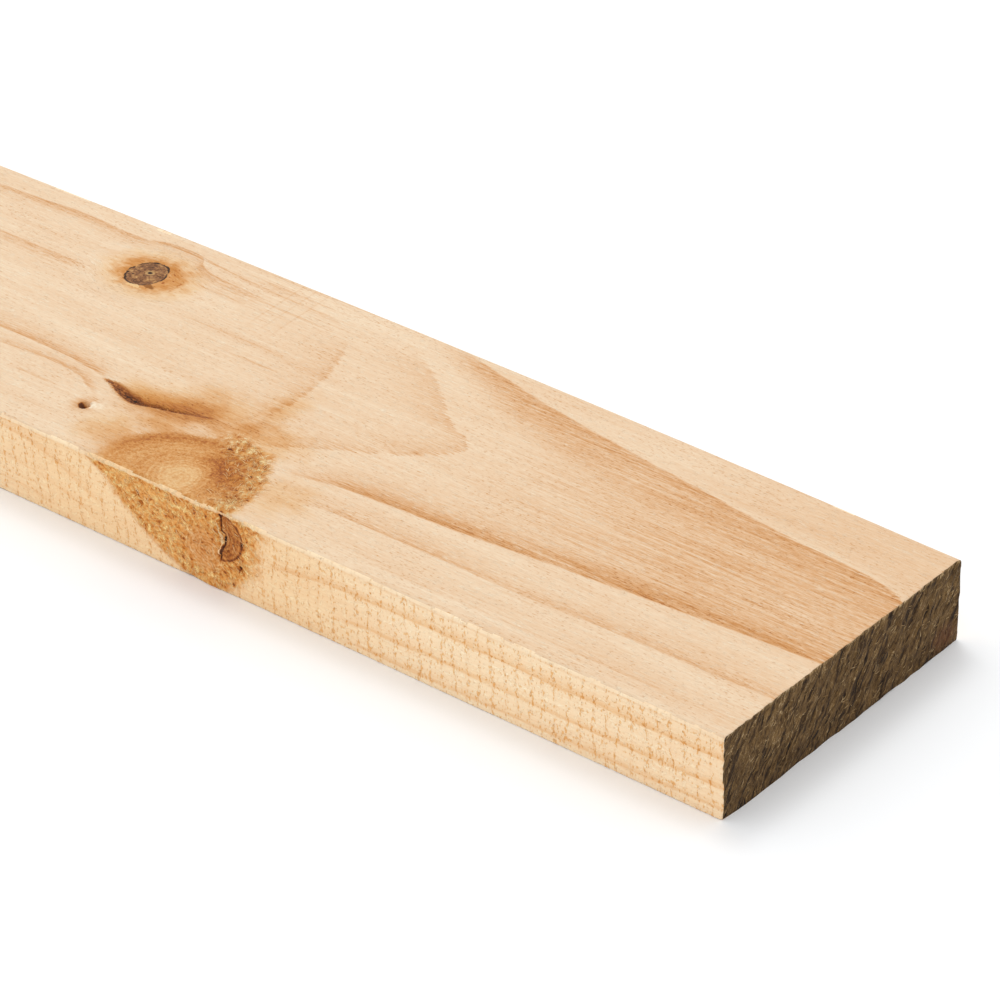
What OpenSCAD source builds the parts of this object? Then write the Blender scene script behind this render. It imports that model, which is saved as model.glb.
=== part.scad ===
// Timber plank: one sawn softwood board, 25 x 100 mm in section and 1.8 m long.
// X runs along the grain, Y across the width and Z up, with the bottom face on Z = 0.
// The origin is the centre of the bottom of the board's bounding box.

/* [Board] */
// Length along the grain, from saw cut to saw cut
board_length = 1800; // [600:50:4800]
// Width from edge to edge, away from the swell
board_width = 100; // [60:1:200]
// Thickness from the bottom face to the top face
board_thickness = 25; // [16:0.5:50]
// Width of the small flat that eases each of the four long arrises
arris_ease = 1; // [0.4:0.1:4]

/* [Swell of the +Y edge] */
// How far the +Y edge stands out of line at the middle of the swell
swell_height = 2.4; // [1:0.1:5]
// Length of the swell, measured back from the saw cut at +X
swell_length = 350; // [200:10:500]

/* [Hidden] */

// The swell counts in the bounding box, so the straight board lies off centre by half of it
near_edge_y = -(board_width + swell_height) / 2;
far_edge_y = near_edge_y + board_width;
end_x = board_length / 2;

// The swell is a circular arc that rises swell_height above a chord of swell_length
swell_radius = (pow(swell_length / 2, 2) + pow(swell_height, 2)) / (2 * swell_height);
swell_centre_x = end_x - swell_length / 2;
swell_centre_y = far_edge_y + swell_height - swell_radius;
// Half the angle that the swell spans, and how far its solid reaches back into the board
swell_half_angle = asin(swell_length / 2 / swell_radius);
swell_root = board_width / 2;
// Facets that a full turn of the swell would have where it is drawn as a mesh
swell_fn = 1440;

// Section of the board from its near edge, with the four arrises eased
module section(width) {
    polygon([
        [arris_ease, 0], [width - arris_ease, 0],
        [width, arris_ease], [width, board_thickness - arris_ease],
        [width - arris_ease, board_thickness], [arris_ease, board_thickness],
        [0, board_thickness - arris_ease], [0, arris_ease]
    ]);
}

// The straight board, extruded along the grain
module straight_board() {
    translate([-end_x, near_edge_y, 0])
        rotate([90, 0, 90])
            linear_extrude(height = board_length)
                section(board_width);
}

// The sliver that stands out of the +Y edge, with the same arrises swept round its arc
module edge_swell() {
    intersection() {
        translate([swell_centre_x, swell_centre_y, 0])
            rotate([0, 0, 90 - 2 * swell_half_angle])
                rotate_extrude(angle = 4 * swell_half_angle, $fn = swell_fn)
                    translate([swell_radius - swell_root, 0])
                        section(swell_root);
        translate([end_x - swell_length, far_edge_y - swell_root / 2, 0])
            cube([swell_length, swell_root / 2 + 2 * swell_height, board_thickness]);
    }
}

// One solid: sawn stock has no pieces of its own
module plank() {
    color("burlywood")
        union() {
            straight_board();
            edge_swell();
        }
}

plank();
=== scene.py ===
"""Looks of the timber plank: a sawn softwood board with knots, a bark pocket and a weathered end.

Sizes in this script are in millimetres on the board itself. "a" runs along the grain and is 0 at the
weathered +X end and negative into the board, "b" runs across from the -Y edge, and "c" runs up from
the bottom face. Only place() and the materials' first nodes turn them into metres of the row frame.
"""
import math

import bmesh
import bpy
import numpy as np
from mathutils import Matrix, Vector


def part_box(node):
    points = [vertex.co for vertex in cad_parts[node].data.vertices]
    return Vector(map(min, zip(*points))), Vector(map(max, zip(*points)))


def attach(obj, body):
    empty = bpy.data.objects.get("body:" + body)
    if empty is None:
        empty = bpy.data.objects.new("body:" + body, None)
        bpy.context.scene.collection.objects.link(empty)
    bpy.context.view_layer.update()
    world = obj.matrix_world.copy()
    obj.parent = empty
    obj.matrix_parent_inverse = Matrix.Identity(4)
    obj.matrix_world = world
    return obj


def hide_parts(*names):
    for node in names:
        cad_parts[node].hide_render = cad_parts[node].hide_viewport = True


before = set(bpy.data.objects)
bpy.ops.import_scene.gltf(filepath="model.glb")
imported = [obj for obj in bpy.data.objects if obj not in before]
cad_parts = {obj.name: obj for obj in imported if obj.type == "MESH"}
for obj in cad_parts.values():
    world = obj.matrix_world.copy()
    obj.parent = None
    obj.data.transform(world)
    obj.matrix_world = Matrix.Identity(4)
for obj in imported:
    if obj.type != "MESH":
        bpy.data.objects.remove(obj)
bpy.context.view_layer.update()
cad_low, cad_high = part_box("plank")

MM = 0.001
LENGTH = (cad_high.x - cad_low.x) / MM
THICKNESS = (cad_high.z - cad_low.z) / MM
SWELL = 2.4
SWELL_LENGTH = 350.0
WIDTH = (cad_high.y - cad_low.y) / MM - SWELL
ORIGIN = (cad_high.x, cad_low.y, cad_low.z)

# Length of the board, from the +X end, that has listed features
SHOWN_LENGTH = 360.0
# Spacing of the near edge's saw marks
SAW_PITCH = 4.05

# Dead knots of the top face, shown and hidden: centre a and b, half-sizes along a and b
DEAD_KNOT = (-263.0, 79.2, 6.1, 7.1)
FAR_KNOTS = ((-655.0, 31.0, 7.5, 6.5), (-1010.0, 72.0, 5.0, 5.5), (-1390.0, 24.0, 9.0, 7.5))
# Pale eye of the big knot, and the ellipse whose +X side is torn out
BIG_KNOT = (-183.0, 5.7)
TORN_OUT = (-184.0, 6.0, 22.0, 23.5)
PIN_KNOT = (-228.0, 16.8)
# Pits of the near edge's knot that are deep enough to be shape: a, c, size
DEEP_PITS = ((-194, 18.5, 1.0), (-192.7, 15.8, 0.9), (-158, 9, 1.2), (-163, 17.5, 0.9), (-165, 10, 0.9))

# Given lines, each a few points of (input, output) joined by a smooth curve
POCKET_LINE = ((-240, 30.5), (-231, 29.8), (-225, 28.3), (-219, 27.2), (-212, 28.2), (-204, 30.2),
               (-196, 33))
POCKET_WIDTH = ((-236, 0.1), (-231, 0.6), (-226, 1.6), (-222, 1.7), (-217, 1.0),
                (-212, 0.6), (-203, 0.42), (-195, 0.3))
CRACK_LINE = ((5, -164.5), (10, -165), (13.2, -163.8), (15.5, -163.5), (19.3, -164.2), (25, -164.7))
KNOT_LEFT = ((0, -175), (3.2, -183.5), (7.4, -191), (10.8, -195.8), (15.5, -202), (19.7, -205.5),
             (25, -214.6))
KNOT_RIGHT = ((0, -161), (4.7, -155), (9.3, -150.4), (15.5, -149.2), (25, -147.3))


# ---------------------------------------------------------------- numbers: noise and smooth steps

def smooth(low, high, value):
    """0 below low, 1 above high, and a smooth step between them. With low above high it falls."""
    t = np.clip((value - low) / (high - low), 0, 1)
    return t * t * (3 - 2 * t)


def hashed(i, j, seed):
    """A repeatable number from 0 to 1 for each lattice point."""
    h = (i.astype(np.int64) * 374761393 + j.astype(np.int64) * 668265263 + seed * 974711) & 0xFFFFFFFF
    h = ((h ^ (h >> 13)) * 1274126177) & 0xFFFFFFFF
    return ((h ^ (h >> 16)) & 0xFFFF) / 65535.0


def noise(x, y, seed):
    """Smooth noise from -1 to 1 with features about one unit across."""
    i, j = np.floor(x), np.floor(y)
    u, v = smooth(0, 1, x - i), smooth(0, 1, y - j)
    low = hashed(i, j, seed) * (1 - u) + hashed(i + 1, j, seed) * u
    high = hashed(i, j + 1, seed) * (1 - u) + hashed(i + 1, j + 1, seed) * u
    return 2 * (low * (1 - v) + high * v) - 1


def rough_noise(x, y, seed):
    """Three octaves of noise, for torn wood."""
    middle = 0.5 * noise(2.1 * x, 2.1 * y, seed + 1)
    return noise(x, y, seed) + middle + 0.25 * noise(4.3 * x, 4.3 * y, seed + 2)


def line_at(points, value):
    """The given line's output at each value."""
    inputs, outputs = zip(*sorted(points))
    return np.interp(value, inputs, outputs)


# ---------------------------------------------------------------- mesh: one closed board with relief

def place(points):
    """Board millimetres to metres in the row frame."""
    return np.asarray(points) * MM + np.array([ORIGIN[0], ORIGIN[1], ORIGIN[2]])


def swell_at(a):
    """How far the +Y edge stands out at each a."""
    radius = ((SWELL_LENGTH / 2) ** 2 + SWELL ** 2) / (2 * SWELL)
    from_middle = a + SWELL_LENGTH / 2
    inside = np.clip(radius ** 2 - from_middle ** 2, 0, None)
    return np.clip(np.sqrt(inside) - radius + SWELL, 0, None)


def stations(*stretches):
    """Places along one axis: each stretch is (start, end, step), and they follow one another."""
    found = []
    for start, end, step in stretches:
        count = max(1, round(abs(end - start) / step))
        found += list(np.linspace(start, end, count + 1)[:-1])
    return np.array(found + [stretches[-1][1]])


def arc_points(centre, radius, start, end, count):
    angles = np.radians(np.linspace(start, end, count))
    return [(centre[0] + radius * math.cos(t), centre[1] + radius * math.sin(t)) for t in angles]


def top_relief(a, b):
    """Height of the top face above its plane: torn wood at knots, the pocket's groove and the pin hole."""
    height = 0.06 * noise(a / 45, b / 7, 11) + 0.04 * noise(a / 14, b / 2.2, 12)
    for ka, kb, ra, rb in (DEAD_KNOT, *FAR_KNOTS):
        r = np.hypot((a - ka) / ra, (b - kb) / rb)
        height += 0.18 * smooth(1.7, 1.05, r) * smooth(0.9, 1.05, r)
        height -= smooth(1.05, 0.85, r) * (0.12 + 0.14 * rough_noise(a / 1.6, b / 1.6, 13))
        height -= 0.45 * np.exp(-((r - 0.97) / 0.05) ** 2) * (0.5 + 0.5 * noise(a / 2.5, b / 2.5, 14))
    torn = torn_top(a, b)
    height += torn * (0.42 * rough_noise(a / 2.6, b / 2.6, 15) + 0.05)
    groove = np.exp(-((b - line_at(POCKET_LINE, a)) / pocket_half_width(a)) ** 2)
    height -= 1.3 * groove * smooth(-232, -222, a) * smooth(-199, -214, a)
    hole = np.hypot((a - PIN_KNOT[0]) / 1.5, (b - PIN_KNOT[1]) / 1.7)
    height -= 2.6 * smooth(1.15, 0.5, hole)
    height += 0.5 * np.exp(-(((a - PIN_KNOT[0] - 1.8) / 1.1) ** 2 + ((b - PIN_KNOT[1] - 1.6) / 0.9) ** 2))
    return height


def pocket_half_width(a):
    return 0.55 + 1.0 * smooth(-231, -221, a) * smooth(-211, -219, a)


def torn_top(a, b):
    """Where the big knot's +X side is torn out, from 0 to 1."""
    middle_a, middle_b, half_a, half_b = TORN_OUT
    x, y = (a - middle_a) / half_a, (b - middle_b) / half_b
    r = np.hypot(x, y)
    side = smooth(-0.1, 0.45, x + 0.35 * y)
    return side * smooth(0.42, 0.66, r) * smooth(1.12, 0.93, r)


def near_relief(a, c):
    """How far the near edge stands out: saw marks, the torn knot, its crack and its pits."""
    out = 0.05 * noise(a / 30, c / 5, 21)
    out += 0.045 * np.sin(a * 2 * np.pi / SAW_PITCH + 1.5 * noise(a / 17, c / 26, 22))
    zone = smooth(-1.5, 1.5, a - line_at(KNOT_LEFT, c)) * smooth(-3, 3, line_at(KNOT_RIGHT, c) - a)
    out += zone * 0.42 * rough_noise(a / 1.9, c / 1.9, 23)
    second = np.hypot((a + 160.3) / 4.6, (c - 19) / 6.4)
    out -= 0.3 * smooth(1.1, 0.8, second) + 0.5 * np.exp(-((second - 1.0) / 0.1) ** 2)
    crack = np.exp(-((a - line_at(CRACK_LINE, c)) / 0.7) ** 2) * smooth(8.5, 11, c)
    out -= 0.7 * crack
    for pa, pc, size in DEEP_PITS:
        out -= 1.1 * np.exp(-(((a - pa) / size) ** 2 + ((c - pc) / size) ** 2))
    return out


def end_relief(b, c):
    """How far the sawn end stands out: slanted tears and fuzz."""
    slant = b * 0.83 - c * 0.56
    along = b * 0.56 + c * 0.83
    out = 0.30 * noise(slant / 1.5, along / 7.0, 31) + 0.22 * rough_noise(slant / 0.9, along / 1.6, 32)
    out += 0.25 * noise(b / 11, c / 9, 33)
    return out


def grid_faces(rows, columns, start):
    """Quads of a grid of points stored row by row from index start."""
    i = np.arange(rows - 1)[:, None] * columns + np.arange(columns - 1)[None, :] + start
    return np.stack([i, i + 1, i + columns + 1, i + columns], -1).reshape(-1, 4)


def stitch(first, second, first_at, second_at):
    """Triangles that join two runs of vertices whose places along the seam are first_at and second_at."""
    faces, i, j = [], 0, 0
    while i < len(first) - 1 or j < len(second) - 1:
        step_first = j == len(second) - 1 or (i < len(first) - 1 and first_at[i + 1] <= second_at[j + 1])
        if step_first:
            faces.append((first[i], first[i + 1], second[j]))
            i += 1
        else:
            faces.append((first[i], second[j + 1], second[j]))
            j += 1
    return faces


# Radii of the upper and lower long edges, and where the section's patches meet
ARRIS = 1.2
LOW_ARRIS = 0.4
SEAM_LOW, SEAM_HIGH, SEAM_GAP = 3.0, 22.0, 0.7
END_GAP = 0.4
# Sawn ends: how far their grid stays from the edges, how deep it lies, and its steps
CAP_INSET = 0.8
CAP_DEPTH = 0.35
SHOWN_END_STEP, HIDDEN_END_STEP = 0.5, 1.6
FINE_A = stations((-LENGTH + END_GAP, -SHOWN_LENGTH, 12), (-SHOWN_LENGTH, -282, 1.9), (-282, -243, 1.0),
                  (-243, -216, 0.8), (-216, -146, 0.62), (-146, -8, 1.7), (-8, -END_GAP, 0.6))
COARSE_A = stations((-LENGTH + END_GAP, -SHOWN_LENGTH, 12), (-SHOWN_LENGTH, -8, 6), (-8, -END_GAP, 1.0))


def section_patches():
    """The section as four runs of (b, c, normal b, normal c), in order round it: near, top, far, bottom."""
    r, w, t = ARRIS, WIDTH, THICKNESS
    near = [(0, c, -1, 0) for c in stations((SEAM_LOW, SEAM_HIGH, 0.8))]
    far = [(w, c, 1, 0) for c in stations((SEAM_HIGH, SEAM_LOW, 2.4))]

    def corner(b, c, start, count, radius=r):
        spots = arc_points((b, c), radius, start, start - 90, count)
        return [(p, q, (p - b) / radius, (q - c) / radius) for p, q in spots]

    top = [(0, SEAM_HIGH + SEAM_GAP, -1, 0)] + corner(r, t - r, 180, 6)
    top += [(b, t, 0, 1) for b in stations((2, 32, 0.75), (32, 70, 1.5), (70, 98, 1.0))]
    top += corner(w - r, t - r, 90, 4) + [(w, SEAM_HIGH + SEAM_GAP, 1, 0)]
    low = LOW_ARRIS
    bottom = [(w, SEAM_LOW - SEAM_GAP, 1, 0)] + corner(w - low, low, 0, 3, low)
    bottom += [(b, 0, 0, -1) for b in stations((w - 3, 3, 3.5))]
    bottom += corner(low, low, -90, 3, low) + [(0, SEAM_LOW - SEAM_GAP, -1, 0)]
    return [(FINE_A, near), (FINE_A, top), (COARSE_A, far), (COARSE_A, bottom)]


def worn(points):
    """Rounds the edges of the +X end, most of all its lower corner at the near edge."""
    a, b, c = points.T
    for axis, radius in ((2, 0.4 + 1.3 * np.exp(-(b / 4) ** 2)), (1, 0.4 + 1.2 * np.exp(-(c / 4) ** 2))):
        other = points[:, axis]
        u, v = points[:, 0] + radius, radius - other
        length = np.hypot(u, v)
        out = (u > 0) & (v > 0) & (length > radius)
        scale = np.where(out, radius / np.maximum(length, 1e-9), 1)
        points[:, 0] = np.where(out, u * scale - radius, points[:, 0])
        points[:, axis] = np.where(out, radius - v * scale, points[:, axis])
    return points


def body_points(a_places, run):
    """The grid of one patch with its relief, row by row along the board."""
    a, k = np.meshgrid(a_places, np.arange(len(run)), indexing="ij")
    b, c, nb, nc = (np.array([spot[i] for spot in run], float)[k] for i in range(4))
    upper, lower = np.clip(nc, 0, 1) ** 2, np.clip(-nc, 0, 1) ** 2
    near, far = np.clip(-nb, 0, 1) ** 2, np.clip(nb, 0, 1) ** 2
    out = upper * top_relief(a, b) + near * near_relief(a, c)
    out += lower * (-0.05 + 0.05 * noise(a / 40, b / 8, 41)) + far * 0.06 * noise(a / 30, c / 5, 42)
    on_arris = 4 * upper * near
    out += on_arris * (0.09 * rough_noise(a / 3.1, c, 43) + 0.12 * noise(a / 11, c, 44) - 0.05)
    b = b + swell_at(a) * smooth(55, WIDTH, b)
    a = a + 0.22 * rough_noise(b / 1.5, c / 1.5, 45) * smooth(-3.0, -END_GAP, a)
    points = np.stack([a, b + nb * out, c + nc * out], -1).reshape(-1, 3)
    points[:, 2] = np.maximum(points[:, 2], 0.0)
    return worn(points)


def cap_points(side, step):
    """The grid of a sawn end. side is 0 at the +X end and -LENGTH at the other."""
    b_places = stations((CAP_INSET, WIDTH - CAP_INSET, step))
    c_places = stations((CAP_INSET, THICKNESS - CAP_INSET, step))
    b, c = np.meshgrid(b_places, c_places, indexing="ij")
    outward = 1 if side == 0 else -1
    depth = end_relief(b, c) - CAP_DEPTH
    edge = np.minimum(np.minimum(b, WIDTH - b), np.minimum(c, THICKNESS - c))
    depth = depth * smooth(0, 2.5, edge + 1) - 0.15
    points = np.stack([side + outward * depth, b, c], -1).reshape(-1, 3)
    loop = list(range(len(c_places)))
    loop += [i * len(c_places) + len(c_places) - 1 for i in range(1, len(b_places))]
    loop += [(len(b_places) - 1) * len(c_places) + j for j in range(len(c_places) - 2, -1, -1)]
    loop += [i * len(c_places) for i in range(len(b_places) - 2, 0, -1)]
    return points, (len(b_places), len(c_places)), loop


def ring_places(points, loop):
    """How far round the section each point of a closed loop is, from 0 to 1."""
    spots = points[loop][:, 1:]
    steps = np.hypot(*np.diff(spots, axis=0).T)
    return np.concatenate([[0], np.cumsum(steps)]) / steps.sum()


def build_board():
    """The board's vertices, its faces, and for each face whether it is on a sawn end."""
    blocks, faces, on_end, grids, count = [], [], [], [], 0
    for a_places, run in section_patches():
        points = body_points(a_places, run)
        quads = grid_faces(len(a_places), len(run), count)[:, [0, 3, 2, 1]]
        faces += quads.tolist()
        grids.append((count, len(a_places), len(run), a_places))
        blocks.append(points)
        count += len(points)
    for index, (start, rows, columns, places) in enumerate(grids):
        next_start, next_rows, next_columns, next_places = grids[(index + 1) % 4]
        last = [start + i * columns + columns - 1 for i in range(rows)]
        first = [next_start + i * next_columns for i in range(next_rows)]
        faces += stitch(last, first, places, next_places)
    on_end += [False] * len(faces)
    for side, step in ((0.0, SHOWN_END_STEP), (-LENGTH, HIDDEN_END_STEP)):
        row = -1 if side == 0 else 0
        ring = [start + (rows + row) % rows * columns + j
                for start, rows, columns, _ in grids for j in range(columns)]
        points, (rows, columns), loop = cap_points(side, step)
        everything = np.concatenate(blocks + [points])
        inner = [count + j for j in loop]
        quads = grid_faces(rows, columns, count)
        flip = side != 0
        faces += (quads[:, ::-1] if flip else quads).tolist()
        shift = int(np.argmin(np.hypot(*(everything[ring][:, 1:] - everything[inner[0]][1:]).T)))
        ring = ring[shift:] + ring[:shift]
        ring, inner = ring + ring[:1], inner + inner[:1]
        strip = stitch(ring, inner, ring_places(everything, ring), ring_places(everything, inner))
        faces += [f[::-1] if flip else f for f in strip]
        on_end += [True] * (len(faces) - len(on_end))
        blocks.append(points)
        count += len(points)
    return np.concatenate(blocks), faces, np.array(on_end)


LOOSE_SEED = 7
FIBRE_STEPS = 5
# How many loose fibres are tried on the torn knot, the near edge's knot and the +X end
TORN_TRIES, EDGE_TRIES, END_TRIES = 420, 330, 230


def fibre(start, along, normal, length, radius, bow, lift):
    """A thin three-sided fibre that leaves the surface at start, bows sideways and comes back down."""
    side = np.cross(normal, along)
    t = np.linspace(0, 1, FIBRE_STEPS + 1)[:, None]
    path = start + along * t * length + side * bow * t ** 2
    path = path + normal * (lift * np.sin(t * math.pi * 0.8) - radius)
    width = radius * (1 - 0.7 * t)
    ring = [path + width * (math.cos(angle) * side + math.sin(angle) * normal) for angle in (0.0, 2.1, 4.2)]
    return np.stack(ring, 1).reshape(-1, 3)


def fibre_faces(start):
    quads = []
    for first in range(start, start + 3 * FIBRE_STEPS, 3):
        for j, k in ((0, 1), (1, 2), (2, 0)):
            quads.append((first + j, first + k, first + 3 + k, first + 3 + j))
    last = start + 3 * FIBRE_STEPS
    return quads + [(start + 2, start + 1, start), (last, last + 1, last + 2)]


def loose_fibres(first):
    """Loose fibres of the torn knot, the near edge's knot and the weathered end, as points and faces."""
    draw = np.random.default_rng(LOOSE_SEED)
    spots = []
    for a, b in draw.uniform((-182, 1), (-157, 29), (TORN_TRIES, 2)):
        if torn_top(a, b) > 0.5:
            spot = (a, b, THICKNESS + top_relief(a, b))
            spots.append((spot, (0, 0, 1), draw.uniform(0, math.pi), 3.2, 0.6))
    for a, c in draw.uniform((-212, 1.5), (-150, 24), (EDGE_TRIES, 2)):
        if line_at(KNOT_LEFT, c) + 2 < a < line_at(KNOT_RIGHT, c) - 2:
            spots.append(((a, -near_relief(a, c), c), (0, -1, 0), draw.normal(-0.6, 0.5), 3.0, 0.5))
    for b, c in draw.uniform((1, 1), (99, 24), (END_TRIES, 2)):
        spots.append(((end_relief(b, c) - CAP_DEPTH, b, c), (1, 0, 0), draw.normal(0.95, 0.6), 2.4, 0.4))
    points, faces = [], []
    for start, normal, angle, longest, highest in spots:
        normal = np.array(normal, float)
        flat = np.array((0.0, 1.0, 0.0)) if normal[0] else np.array((1.0, 0.0, 0.0))
        up = np.array((0.0, 1.0, 0.0)) if normal[2] else np.array((0.0, 0.0, 1.0))
        along = math.cos(angle) * flat + math.sin(angle) * up
        length = draw.uniform(0.35, 1) * longest
        bow = draw.uniform(-1, 1)
        lift = draw.uniform(0.3, 1) * highest
        shape = fibre(np.array(start, float), along, normal, length, draw.uniform(0.07, 0.15), bow, lift)
        shape[:, 2] = np.clip(shape[:, 2], 0.1, None)
        faces += fibre_faces(first + len(points) * len(shape))
        points.append(shape)
    return np.concatenate(points), faces


def mesh_from(name, points, faces):
    mesh = bpy.data.meshes.new(name)
    mesh.from_pydata(place(points).tolist(), [], faces)
    turned = bmesh.new()
    turned.from_mesh(mesh)
    bmesh.ops.recalc_face_normals(turned, faces=turned.faces)
    turned.to_mesh(mesh)
    turned.free()
    mesh.polygons.foreach_set("use_smooth", np.ones(len(mesh.polygons), bool))
    mesh.update()
    obj = bpy.data.objects.new(name, mesh)
    bpy.context.scene.collection.objects.link(obj)
    return obj


# ---------------------------------------------------------------- shader arithmetic

class Field:
    """A socket of a node tree, with the usual arithmetic."""

    def __init__(self, graph, socket):
        self.graph, self.socket = graph, socket

    def __add__(self, other):
        return self.graph.math("ADD", self, other)

    def __sub__(self, other):
        return self.graph.math("SUBTRACT", self, other)

    def __rsub__(self, other):
        return self.graph.math("SUBTRACT", other, self)

    def __mul__(self, other):
        return self.graph.math("MULTIPLY", self, other)

    def __truediv__(self, other):
        return self.graph.math("DIVIDE", self, other)

    __radd__ = __add__
    __rmul__ = __mul__


class Graph:
    """Builds a material's nodes from expressions. Places are in board millimetres: a, b and c."""

    def __init__(self, name):
        self.material = bpy.data.materials.new(name)
        self.material.use_nodes = True
        self.tree = self.material.node_tree
        self.shader = self.tree.nodes["Principled BSDF"]
        coordinates = self.new("TexCoord")
        split = self.new("SeparateXYZ")
        self.tree.links.new(coordinates.outputs["Object"], split.inputs[0])
        place_of = [Field(self, split.outputs[i]) for i in range(3)]
        self.a, self.b, self.c = ((p - o) / MM for p, o in zip(place_of, ORIGIN))

    def new(self, kind):
        return self.tree.nodes.new("ShaderNode" + kind)

    def feed(self, socket, value):
        if isinstance(value, Field):
            self.tree.links.new(value.socket, socket)
        elif socket.type == "RGBA":
            socket.default_value = (*value, 1.0)
        else:
            socket.default_value = value

    def math(self, operation, *values, clamp=False):
        node = self.new("Math")
        node.operation, node.use_clamp = operation, clamp
        for socket, value in zip(node.inputs, values):
            self.feed(socket, value)
        return Field(self, node.outputs[0])

    def span(self, low, high, value, to_low=0.0, to_high=1.0, kind="LINEAR"):
        """A straight, clamped ramp."""
        node = self.new("MapRange")
        node.interpolation_type = kind
        for socket, given in zip(node.inputs, (value, low, high, to_low, to_high)):
            self.feed(socket, given)
        return Field(self, node.outputs[0])

    def step(self, low, high, value):
        """A smooth step from 0 at low to 1 at high. With numbers it falls if low is above high."""
        numbers = not isinstance(low, Field) and not isinstance(high, Field)
        if numbers and low > high:
            return self.span(high, low, value, 1.0, 0.0, "SMOOTHSTEP")
        return self.span(low, high, value, kind="SMOOTHSTEP")

    def window(self, value, rise, full, fade, end):
        """0 before rise, 1 from full to fade, and 0 after end."""
        return self.step(rise, full, value) * self.step(end, fade, value)

    def curve(self, points, value):
        """The smooth curve through given points of (input, output)."""
        points = sorted(points)
        inputs, outputs = zip(*points)
        low, high = min(outputs), max(outputs)
        node = self.new("FloatCurve")
        line = node.mapping.curves[0]
        while len(line.points) < len(points):
            line.points.new(0.5, 0.5)
        for spot, (x, y) in zip(line.points, points):
            spot.location = ((x - inputs[0]) / (inputs[-1] - inputs[0]), (y - low) / (high - low))
        for spot in line.points:
            spot.handle_type = "AUTO"
        node.mapping.update()
        self.feed(node.inputs["Value"], self.span(inputs[0], inputs[-1], value))
        return Field(self, node.outputs[0]) * (high - low) + low

    def vector(self, x, y, z):
        node = self.new("CombineXYZ")
        for socket, value in zip(node.inputs, (x, y, z)):
            self.feed(socket, value)
        return Field(self, node.outputs[0])

    def noise(self, x, y, z, detail=2.0, roughness=0.5):
        """Noise from 0 to 1 with features about one unit across in x, y and z."""
        node = self.new("TexNoise")
        self.feed(node.inputs["Vector"], self.vector(x, y, z))
        self.feed(node.inputs["Scale"], 1.0)
        self.feed(node.inputs["Detail"], detail)
        self.feed(node.inputs["Roughness"], roughness)
        return Field(self, node.outputs["Fac"])

    def hairs(self, x, y, z, width=0.03, detail=1.0):
        """Thin curly lines, 1 on a line and 0 off it, that wander with features about one unit across."""
        return self.step(width, width * 0.35, self.math("ABSOLUTE", self.noise(x, y, z, detail) - 0.5))

    def hypot(self, x, y):
        return self.math("SQRT", x * x + y * y)

    def ellipse(self, x, y, middle_x, middle_y, half_x, half_y):
        """Distance from an ellipse's middle, 1 on its outline."""
        return self.hypot((x - middle_x) / half_x, (y - middle_y) / half_y)

    def blot(self, x, y, spot, outer, inner, wander=0.0):
        """1 inside an ellipse and 0 outside. spot is its middle and half-sizes, wander moves its outline."""
        return self.step(outer, inner, self.ellipse(x, y, *spot) + wander)

    def mix(self, amount, first, second, blend_type="MIX"):
        """The first colour where the amount is 0, and the second, or its blend, where it is 1."""
        node = self.new("Mix")
        node.data_type, node.blend_type = "RGBA", blend_type
        for name, value in (("Factor_Float", amount), ("A_Color", first), ("B_Color", second)):
            self.feed(next(s for s in node.inputs if s.identifier == name), value)
        return Field(self, next(s for s in node.outputs if s.identifier == "Result_Color"))

    def stain(self, amount, colour, tint):
        """Multiplies the colour by the tint where the amount is 1."""
        return self.mix(amount, colour, tint, "MULTIPLY")

    def tone(self, darkness, tones):
        """The colour at a darkness from 0 to 1, between given tones of (darkness, colour)."""
        node = self.new("ValToRGB")
        stops = node.color_ramp.elements
        while len(stops) < len(tones):
            stops.new(0.5)
        for stop, (place_on_ramp, colour) in zip(stops, tones):
            stop.position = place_on_ramp
        for stop, (place_on_ramp, colour) in zip(stops, tones):
            stop.color = (*colour, 1.0)
        self.feed(node.inputs[0], darkness)
        return Field(self, node.outputs[0])

    def most(self, first, second):
        return self.math("MAXIMUM", first, second)

    def finish(self, colour, roughness, height, depth_mm):
        """Sets colour, roughness and a bump whose height of 1 is depth_mm."""
        bump = self.new("Bump")
        bump.inputs["Strength"].default_value = 1.0
        bump.inputs["Distance"].default_value = depth_mm * MM
        self.feed(bump.inputs["Height"], height)
        self.tree.links.new(bump.outputs[0], self.shader.inputs["Normal"])
        self.feed(self.shader.inputs["Base Color"], colour)
        self.feed(self.shader.inputs["Roughness"], roughness)
        self.shader.inputs["Specular IOR Level"].default_value = 0.25
        return self.material


# Strength of the light that falls on the top face, the long edges and the sawn ends
TOP_LIT, EDGE_LIT, END_LIT = 1.12, 0.96, 0.93
# Tints of resin in the wood of the top face and of the long edges
RESIN = (1.0, 0.88, 0.57)
EDGE_RESIN = (1.0, 0.82, 0.46)


def blend(amount, first, second):
    """The first number where the amount is 0 and the second where it is 1."""
    return first * (1 - amount) + second * amount


def shade(red, green, blue, lit=TOP_LIT):
    """A colour as it looks on screen, 0 to 255, as the albedo that shows it in light of strength lit."""
    def linear(value):
        return ((value / 255 + 0.055) / 1.055) ** 2.4 if value > 10 else value / 255 / 12.92

    return tuple(linear(value) / lit for value in (red, green, blue))


def wood_tones(lit, blue=1.0):
    """Softwood from cream through tan and orange to bark, by darkness."""
    screen = ((0.00, 253, 238, 212), (0.10, 246, 224, 193), (0.20, 240, 211, 177), (0.32, 232, 194, 154),
              (0.45, 221, 170, 120), (0.58, 205, 143, 80), (0.70, 178, 108, 48), (0.82, 132, 72, 28),
              (0.92, 84, 44, 18), (1.00, 38, 21, 10))
    return tuple((dark, shade(red, green, low * blue, lit)) for dark, red, green, low in screen)


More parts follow.
